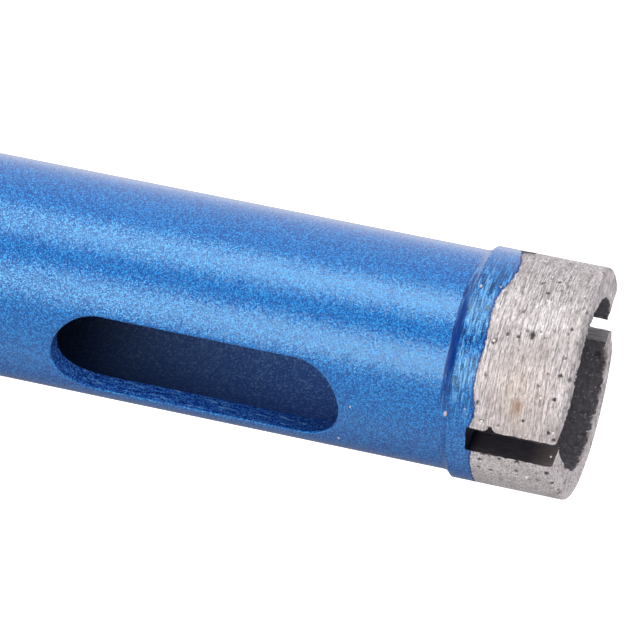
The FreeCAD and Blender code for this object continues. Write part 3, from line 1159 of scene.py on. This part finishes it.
def rust_bloom(tree, place, metal):
    """The metal's colour with a spot of rust on it, drawn out round the crown and set in a warm haze."""
    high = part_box("diamond_crown")[1]
    spot = outward(RUST_AZIMUTH_DEG) * high.x / METRES + Vector((0, 0, high.z / METRES - RUST_BELOW_RIM))
    away = add_node(tree, "ShaderNodeVectorMath", {0: place, 1: spot}, operation="SUBTRACT")
    flat = add_node(tree, "ShaderNodeVectorMath", {
        0: away.outputs[0], 1: (0.9, 0.9, 1.8),
    }, operation="MULTIPLY")
    from_bloom = add_node(tree, "ShaderNodeVectorMath", {0: flat.outputs[0]}, operation="LENGTH")
    run = add_node(tree, "ShaderNodeMapping", {"Vector": place, "Scale": (1 / 0.6, 1 / 0.6, 1 / 0.22)})
    spotty = add_node(tree, "ShaderNodeTexNoise", {"Vector": run.outputs[0], "Scale": 1.0, "Detail": 3.0})
    ring_reach = add_node(tree, "ShaderNodeMath", {
        0: spotty.outputs[0], 1: -2.2, 2: from_bloom.outputs["Value"],
    }, operation="MULTIPLY_ADD")
    rust = add_node(tree, "ShaderNodeMapRange", {
        "Value": ring_reach.outputs[0], "From Min": 0.25, "From Max": -1.0, "To Max": 0.8,
    })
    haze = add_node(tree, "ShaderNodeMapRange", {
        "Value": from_bloom.outputs["Value"], "From Min": 7.5, "From Max": 1.0, "To Max": 0.28,
    })
    hazed = add_node(tree, "ShaderNodeMix", {
        "Factor": haze.outputs[0], "A": metal, "B": srgb("#D2BCA8"),
    }, data_type="RGBA")
    rusted = add_node(tree, "ShaderNodeMix", {
        "Factor": rust.outputs[0], "A": hazed.outputs["Result"], "B": srgb("#94694A"),
    }, data_type="RGBA")
    return rusted.outputs["Result"]


def matrix_shader(tree, place, around, rings, scored):
    """The bare metal of the crown, darker in its pits the deeper they are."""
    metal = rust_bloom(tree, place, streaked_metal(tree, place, around, rings))
    pit = add_node(tree, "ShaderNodeAttribute", attribute_name="open_pit")
    # Pits are darkened by how deep they are
    pit_darkening = add_node(tree, "ShaderNodeMapRange", {
        "Value": pit.outputs["Fac"], "From Min": 0.2, "From Max": 0.8, "To Max": 0.92,
    })
    pit_darkened = add_node(tree, "ShaderNodeMix", {
        "Factor": pit_darkening.outputs[0], "A": metal, "B": srgb("#35302E"),
    }, data_type="RGBA")
    fine = add_node(tree, "ShaderNodeTexNoise", {"Vector": place, "Scale": 1 / 0.12, "Detail": 2.0})
    grain = add_node(tree, "ShaderNodeBump", {
        "Strength": 0.5, "Distance": mm(0.02), "Height": fine.outputs[0], "Normal": scored,
    })
    return add_node(tree, "ShaderNodeBsdfPrincipled", {
        "Base Color": pit_darkened.outputs["Result"], "Metallic": 0.32, "Roughness": 0.4,
        "Normal": grain.outputs[0],
    }).outputs[0]


def raw_sinter():
    """The matrix as it came from the furnace mould: dark, dull and sandy, with pale grit specks that carry a
    painted glint.
    """
    material = new_material("raw_sintered_matrix")
    tree = material.node_tree
    place = millimetres(tree)
    speck = add_node(tree, "ShaderNodeTexVoronoi", {"Vector": place, "Scale": 1 / 0.14})
    channel = add_node(tree, "ShaderNodeSeparateColor", {"Color": speck.outputs["Color"]})
    # Pale grit specks, their glint painted into the colour
    glint = add_node(tree, "ShaderNodeMath", {0: channel.outputs["Green"], 1: 30.0}, operation="POWER")
    mottle = add_node(tree, "ShaderNodeTexNoise", {"Vector": place, "Scale": 1 / 0.5, "Detail": 4.0})
    ramp = add_node(tree, "ShaderNodeMix", {
        "Factor": mottle.outputs[0], "A": srgb("#2B2930"), "B": srgb("#8B868D"),
    }, data_type="RGBA")
    colour = add_node(tree, "ShaderNodeMix", {
        "Factor": glint.outputs[0], "A": ramp.outputs["Result"], "B": srgb("#CBC7CC"),
    }, data_type="RGBA")
    bump = add_node(tree, "ShaderNodeBump", {
        "Strength": 0.9, "Distance": mm(0.08), "Height": mottle.outputs[0],
    })
    dull = add_node(tree, "ShaderNodeBsdfPrincipled", {
        "Base Color": colour.outputs["Result"], "Roughness": 0.75,
        "Normal": bump.outputs[0],
    })
    return finish_material(material, dull.outputs[0])


def sawn_matrix():
    """The slots' walls, one metal in two lights: the front one darkened with painted shade and brown toward
    its tip, the rear one lightened to grey with painted light. The saw's marks are 0.3 mm wide and run along
    the axis."""
    material = new_material("sawn_matrix")
    tree = material.node_tree
    place = millimetres(tree)
    axis = add_node(tree, "ShaderNodeSeparateXYZ", {"Vector": place})
    stretched = add_node(tree, "ShaderNodeMapping", {"Vector": place, "Scale": (3.5, 3.5, 0.8)})
    drawn = add_node(tree, "ShaderNodeTexNoise", {
        "Vector": stretched.outputs[0], "Scale": 1.0, "Detail": 3.0,
    })
    # Painted shade: the front slot's wall, dark
    shaded_front_wall = add_node(tree, "ShaderNodeMix", {
        "Factor": drawn.outputs[0], "A": srgb("#19181D"), "B": srgb("#4B4850"),
    }, data_type="RGBA")
    rim_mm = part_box("diamond_crown")[1].z / METRES
    tip = add_node(tree, "ShaderNodeMapRange", {
        "Value": axis.outputs["Z"], "From Min": rim_mm - 3.5, "From Max": rim_mm - 0.8, "To Max": 0.55,
    })
    browned = add_node(tree, "ShaderNodeMix", {
        "Factor": tip.outputs[0], "A": shaded_front_wall.outputs["Result"], "B": srgb("#857876"),
    }, data_type="RGBA")
    # Painted light: the rear slot's wall, the same metal made light grey
    lit_rear_wall = add_node(tree, "ShaderNodeMix", {
        "Factor": drawn.outputs[0], "A": srgb("#3A373D"), "B": srgb("#D2CDD0"),
    }, data_type="RGBA")
    rear = add_node(tree, "ShaderNodeMapRange", {
        "Value": axis.outputs["Y"], "From Min": -1.0, "From Max": 1.0,
    })
    end = add_node(tree, "ShaderNodeMapRange", {
        "Value": axis.outputs["Z"], "From Min": rim_mm - SLOT_DEPTH + 1.2,
        "From Max": rim_mm - SLOT_DEPTH + 0.4,
    })
    # Painted shade: near black toward the slot's end
    shaded_slot_end = add_node(tree, "ShaderNodeMix", {
        "Factor": end.outputs[0], "A": browned.outputs["Result"], "B": srgb("#060C20"),
    }, data_type="RGBA")
    colour = add_node(tree, "ShaderNodeMix", {
        "Factor": rear.outputs[0], "A": shaded_slot_end.outputs["Result"], "B": lit_rear_wall.outputs["Result"],
    }, data_type="RGBA")
    bump = add_node(tree, "ShaderNodeBump", {
        "Strength": 0.8, "Distance": mm(0.08), "Height": drawn.outputs[0],
    })
    wall = add_node(tree, "ShaderNodeBsdfPrincipled", {
        "Base Color": colour.outputs["Result"], "Roughness": 0.6, "Specular IOR Level": 0.25,
        "Normal": bump.outputs[0],
    })
    return finish_material(material, wall.outputs[0])


def diamond_grit():
    """A synthetic diamond crystal: a pale, glassy glint, a little yellow and cloudy in places."""
    material = new_material("diamond_grit")
    tree = material.node_tree
    cloud = add_node(tree, "ShaderNodeTexNoise", {
        "Vector": millimetres(tree), "Scale": 1 / 0.15, "Detail": 2.0,
    })
    colour = add_node(tree, "ShaderNodeMix", {
        "Factor": cloud.outputs[0], "A": srgb("#FFFFFF"), "B": srgb("#FBF6E4"),
    }, data_type="RGBA")
    stone = add_node(tree, "ShaderNodeBsdfPrincipled", {
        "Base Color": colour.outputs["Result"], "Roughness": 0.25, "IOR": 2.42,
    })
    return finish_material(material, stone.outputs[0])


def paint_dust():
    """Dust grains in the paint: a dull, mottled, pinkish white."""
    material = new_material("dust_in_paint")
    tree = material.node_tree
    mottle = add_node(tree, "ShaderNodeTexNoise", {
        "Vector": millimetres(tree), "Scale": 1 / 0.12, "Detail": 2.0,
    })
    colour = add_node(tree, "ShaderNodeMix", {
        "Factor": mottle.outputs[0], "A": srgb("#C2B5B8"), "B": srgb("#EDE6E6"),
    }, data_type="RGBA")
    bump = add_node(tree, "ShaderNodeBump", {
        "Strength": 0.5, "Distance": mm(0.03), "Height": mottle.outputs[0],
    })
    grain = add_node(tree, "ShaderNodeBsdfPrincipled", {
        "Base Color": colour.outputs["Result"], "Roughness": 0.6, "Normal": bump.outputs[0],
    })
    return finish_material(material, grain.outputs[0])


def chipped_paint():
    """The broken edge of a thick paint film: nearly black, with a little of the blue in it."""
    material = new_material("chipped_paint_edge")
    tree = material.node_tree
    torn = add_node(tree, "ShaderNodeTexNoise", {
        "Vector": millimetres(tree), "Scale": 1 / 0.2, "Detail": 3.0,
    })
    colour = add_node(tree, "ShaderNodeMix", {
        "Factor": torn.outputs[0], "A": srgb("#0E0F13"), "B": srgb("#22262F"),
    }, data_type="RGBA")
    bump = add_node(tree, "ShaderNodeBump", {
        "Strength": 0.5, "Distance": mm(0.04), "Height": torn.outputs[0],
    })
    film = add_node(tree, "ShaderNodeBsdfPrincipled", {
        "Base Color": colour.outputs["Result"], "Roughness": 0.5, "Normal": bump.outputs[0],
    })
    return finish_material(material, film.outputs[0])


def turned_steel():
    """Plain turned steel, left bare where the thread is cut: fine rings 0.1 mm apart and a soft shine."""
    material = new_material("turned_steel")
    tree = material.node_tree
    place = millimetres(tree)
    stretched = add_node(tree, "ShaderNodeMapping", {"Vector": place, "Scale": (0.4, 0.4, 9.0)})
    rings = add_node(tree, "ShaderNodeTexNoise", {
        "Vector": stretched.outputs[0], "Scale": 1.0, "Detail": 3.0,
    })
    tone = add_node(tree, "ShaderNodeMix", {
        "Factor": rings.outputs[0], "A": srgb("#8F8D8B"), "B": srgb("#CFCCC8"),
    }, data_type="RGBA")
    bump = add_node(tree, "ShaderNodeBump", {
        "Strength": 0.3, "Distance": mm(0.02), "Height": rings.outputs[0],
    })
    steel = add_node(tree, "ShaderNodeBsdfPrincipled", {
        "Base Color": tone.outputs["Result"], "Metallic": 1.0, "Roughness": 0.32,
        "Normal": bump.outputs[0],
    })
    return finish_material(material, steel.outputs[0])


# Studio

def floor():
    """A pale floor, which has its own look in the bit's reflections."""
    begin()
    bpy.ops.mesh.primitive_plane_add(size=FLOOR_SIZE, location=(0, 0, 0))
    plane = settled("studio_floor")
    material = new_material("pale_floor")
    tree = material.node_tree
    path = add_node(tree, "ShaderNodeLightPath")
    place = add_node(tree, "ShaderNodeTexCoord").outputs["Object"]
    away = add_node(tree, "ShaderNodeVectorMath", {0: place}, operation="LENGTH").outputs["Value"]
    direction = add_node(tree, "ShaderNodeVectorMath", {0: place}, operation="NORMALIZE").outputs[0]
    either = add_node(tree, "ShaderNodeMixShader", {
        0: path.outputs["Is Glossy Ray"], 1: pale_floor(tree, path, away),
        2: mirrored_floor(tree, direction, away),
    })
    plane.data.materials.append(finish_material(material, either.outputs[0]))


def seen_straight(tree, path):
    """1 where the camera looks straight at a surface, and 0 for any other light."""
    return add_node(tree, "ShaderNodeMath", {
        0: path.outputs["Is Camera Ray"], 1: path.outputs["Is Transmission Ray"],
    }, operation="MAXIMUM").outputs[0]


def pale_floor(tree, path, away):
    """White paper that the camera sees fully lit, apart from a soft shade under the bit."""
    fade = add_node(tree, "ShaderNodeMapRange", {
        "Value": away, "From Min": 0.15, "From Max": 0.40, "To Min": 0.55,
    })
    shown = add_node(tree, "ShaderNodeMath", {
        0: seen_straight(tree, path), 1: fade.outputs[0],
    }, operation="MULTIPLY")
    pale = add_node(tree, "ShaderNodeBsdfDiffuse", {"Color": srgb("#E6E6E6")})
    lit = add_node(tree, "ShaderNodeEmission", {"Color": (1, 1, 1, 1), "Strength": shown.outputs[0]})
    return add_node(tree, "ShaderNodeAddShader", {0: pale.outputs[0], 1: lit.outputs[0]}).outputs[0]


def mirrored_floor(tree, direction, away):
    """The floor in the bit's reflections: dark close in front, dim behind, with the lamps' images in it."""
    dim = add_node(tree, "ShaderNodeMapRange", {
        "Value": toward(tree, direction, 15), "From Min": 0.55, "From Max": 0.97, "To Min": 1.0,
        "To Max": 0.22,
    })
    bright = add_node(tree, "ShaderNodeMapRange", {
        "Value": toward(tree, direction, 115), "From Min": 0.1, "From Max": 0.8, "To Min": 1.0,
        "To Max": 1.15,
    })
    dark = add_node(tree, "ShaderNodeMapRange", {
        "Value": toward(tree, direction, -155), "From Min": 0.35, "From Max": 0.75, "To Min": 0.9,
        "To Max": 0.03,
    })
    near = add_node(tree, "ShaderNodeMapRange", {
        "Value": away, "From Min": 0.15, "From Max": 0.45, "To Min": dark.outputs[0],
    })
    sides = add_node(tree, "ShaderNodeMath", {
        0: dim.outputs[0], 1: bright.outputs[0],
    }, operation="MULTIPLY")
    plain_glow = add_node(tree, "ShaderNodeMath", {
        0: sides.outputs[0], 1: near.outputs[0],
    }, operation="MULTIPLY")
    both_images = add_node(tree, "ShaderNodeMath", {
        0: lamp_image(tree, direction, away, UPPER_LAMP_AZIMUTH_DEG),
        1: lamp_image(tree, direction, away, FRONT_LAMP_AZIMUTH_DEG),
    }, operation="ADD")
    strength = add_node(tree, "ShaderNodeMath", {
        0: plain_glow.outputs[0], 1: both_images.outputs[0],
    }, operation="MAXIMUM")
    return add_node(tree, "ShaderNodeEmission", {
        "Color": (1, 0.96, 1, 1), "Strength": strength.outputs[0],
    }).outputs[0]


def lamp_image(tree, direction, away, azimuth_deg):
    """The glow of one lamp's mirror image in the floor, which carries its strip of light on down the bit."""
    half = math.atan(LAMP_WIDTH / 2 / LAMP_DISTANCE)
    wedge = add_node(tree, "ShaderNodeMapRange", {
        "Value": toward(tree, direction, azimuth_deg), "From Min": math.cos(half * 1.2),
        "From Max": math.cos(half * 0.8), "To Max": LAMP_RADIANCE,
    })
    far = add_node(tree, "ShaderNodeMapRange", {"Value": away, "From Min": 0.16, "From Max": 0.24})
    return add_node(tree, "ShaderNodeMath", {
        0: wedge.outputs[0], 1: far.outputs[0],
    }, operation="MULTIPLY").outputs[0]


def black_flag():
    """A black card between the lamps, seen only in reflections: it makes the dark line on the barrel."""
    place = outward(FLAG_AZIMUTH_DEG) * FLAG_DISTANCE + Vector((0, 0, FLAG_HEIGHT / 2))
    begin()
    bpy.ops.mesh.primitive_plane_add(size=1, location=place,
                                     rotation=(math.radians(90), 0, math.radians(FLAG_AZIMUTH_DEG + 90)))
    bpy.context.object.scale = (FLAG_WIDTH, FLAG_HEIGHT, 1)
    card = settled("black_flag")
    material = new_material("black_card")
    black = add_node(material.node_tree, "ShaderNodeBsdfDiffuse", {"Color": srgb("#101010")})
    card.data.materials.append(finish_material(material, black.outputs[0]))
    card.visible_camera = False
    card.visible_diffuse = False
    card.visible_transmission = False
    card.visible_shadow = False


def studio_world():
    """White behind the bit, and soft light from all round it, stronger on the picture's upper side."""
    world = bpy.data.worlds.new("studio")
    bpy.context.scene.world = world
    world.use_nodes = True
    tree = world.node_tree
    tree.nodes.clear()
    path = add_node(tree, "ShaderNodeLightPath")
    side = add_node(tree, "ShaderNodeTexCoord").outputs["Generated"]
    picture_top = (-0.73, 0.683, 0.1)
    across = add_node(tree, "ShaderNodeVectorMath", {0: side, 1: picture_top}, operation="DOT_PRODUCT")
    fill = add_node(tree, "ShaderNodeMapRange", {
        "Value": across.outputs["Value"], "From Min": -0.8, "From Max": 0.4, "To Min": 0.78,
        "To Max": 0.8,
    })
    plain = add_node(tree, "ShaderNodeMapRange", {
        "Value": across.outputs["Value"], "From Min": -0.8, "From Max": 0.4, "To Min": 0.41,
        "To Max": 0.65,
    })
    glossy = add_node(tree, "ShaderNodeMix", {
        "Factor": path.outputs["Is Glossy Ray"], "A": plain.outputs[0], "B": fill.outputs[0],
    }, data_type="FLOAT")
    strength = add_node(tree, "ShaderNodeMath", {
        0: seen_straight(tree, path), 1: glossy.outputs[0],
    }, operation="MAXIMUM")
    tint = add_node(tree, "ShaderNodeMix", {
        "Factor": path.outputs["Is Glossy Ray"], "A": (1, 1, 1, 1), "B": (1.05, 0.96, 1.02, 1),
    }, data_type="RGBA")
    background = add_node(tree, "ShaderNodeBackground", {
        "Color": tint.outputs["Result"], "Strength": strength.outputs[0],
    })
    add_node(tree, "ShaderNodeOutputWorld", {"Surface": background.outputs[0]})


def softbox(name, azimuth_deg, colour):
    """An upright lamp panel that stands on the floor and faces the bit."""
    way = outward(azimuth_deg)
    lamp = bpy.data.lights.new(name, "AREA")
    lamp.color = colour
    lamp.shape = "RECTANGLE"
    lamp.size = LAMP_WIDTH
    lamp.size_y = LAMP_HEIGHT
    lamp.energy = LAMP_RADIANCE * math.pi * LAMP_WIDTH * LAMP_HEIGHT
    panel = bpy.data.objects.new(name, lamp)
    bpy.context.scene.collection.objects.link(panel)
    panel.location = way * LAMP_DISTANCE + Vector((0, 0, LAMP_HEIGHT / 2))
    panel.rotation_mode = "QUATERNION"
    panel.rotation_quaternion = way.to_track_quat("Z", "Y")
    panel.visible_camera = False


def lamps():
    """The two strips of light on the barrel: a white one on the picture's upper side, a warm one below."""
    softbox("upper_strip", UPPER_LAMP_AZIMUTH_DEG, (1.0, 1.0, 0.97))
    softbox("front_strip", FRONT_LAMP_AZIMUTH_DEG, (0.92, 0.86, 0.78))


def camera():
    """The photograph's camera."""
    data = bpy.data.cameras.new("photo_camera")
    data.lens = CAMERA_LENS
    data.sensor_width = 36
    data.clip_start = 0.05
    data.clip_end = 20
    item = bpy.data.objects.new("photo_camera", data)
    bpy.context.scene.collection.objects.link(item)
    pan = Matrix.Rotation(math.radians(-CAMERA_AZIMUTH_DEG), 4, "Z")
    tilt = Matrix.Rotation(math.radians(90 + CAMERA_ELEVATION_DEG), 4, "X")
    roll = Matrix.Rotation(math.radians(-CAMERA_ROLL_DEG), 4, "Z")
    item.matrix_world = Matrix.Translation(Vector(CAMERA_PLACE) * METRES) @ pan @ tilt @ roll
    bpy.context.scene.camera = item


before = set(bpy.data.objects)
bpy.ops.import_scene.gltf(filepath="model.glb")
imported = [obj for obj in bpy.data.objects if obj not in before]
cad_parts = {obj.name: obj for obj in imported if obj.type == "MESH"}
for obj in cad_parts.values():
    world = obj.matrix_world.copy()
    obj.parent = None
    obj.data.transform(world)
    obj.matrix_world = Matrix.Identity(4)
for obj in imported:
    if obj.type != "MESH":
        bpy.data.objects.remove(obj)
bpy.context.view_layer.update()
enamel = flake_enamel()
milled_paint = milled_enamel()
overspray = overspray_enamel()
matrix = painted_matrix()
sinter = raw_sinter()
sawn = sawn_matrix()
crystal = diamond_grit()
dust = paint_dust()
film = chipped_paint()
steel = turned_steel()
fit_out(painted_barrel(enamel, milled_paint, overspray, dust), "core_tube")
fit_out(ground_crown(matrix, sinter, sawn, crystal, film, dust), "diamond_crown")
fit_out(hexagon_hub(enamel, steel), "threaded_hub")
floor()
black_flag()
studio_world()
lamps()
camera()
bpy.context.scene.view_settings.view_transform = "Standard"
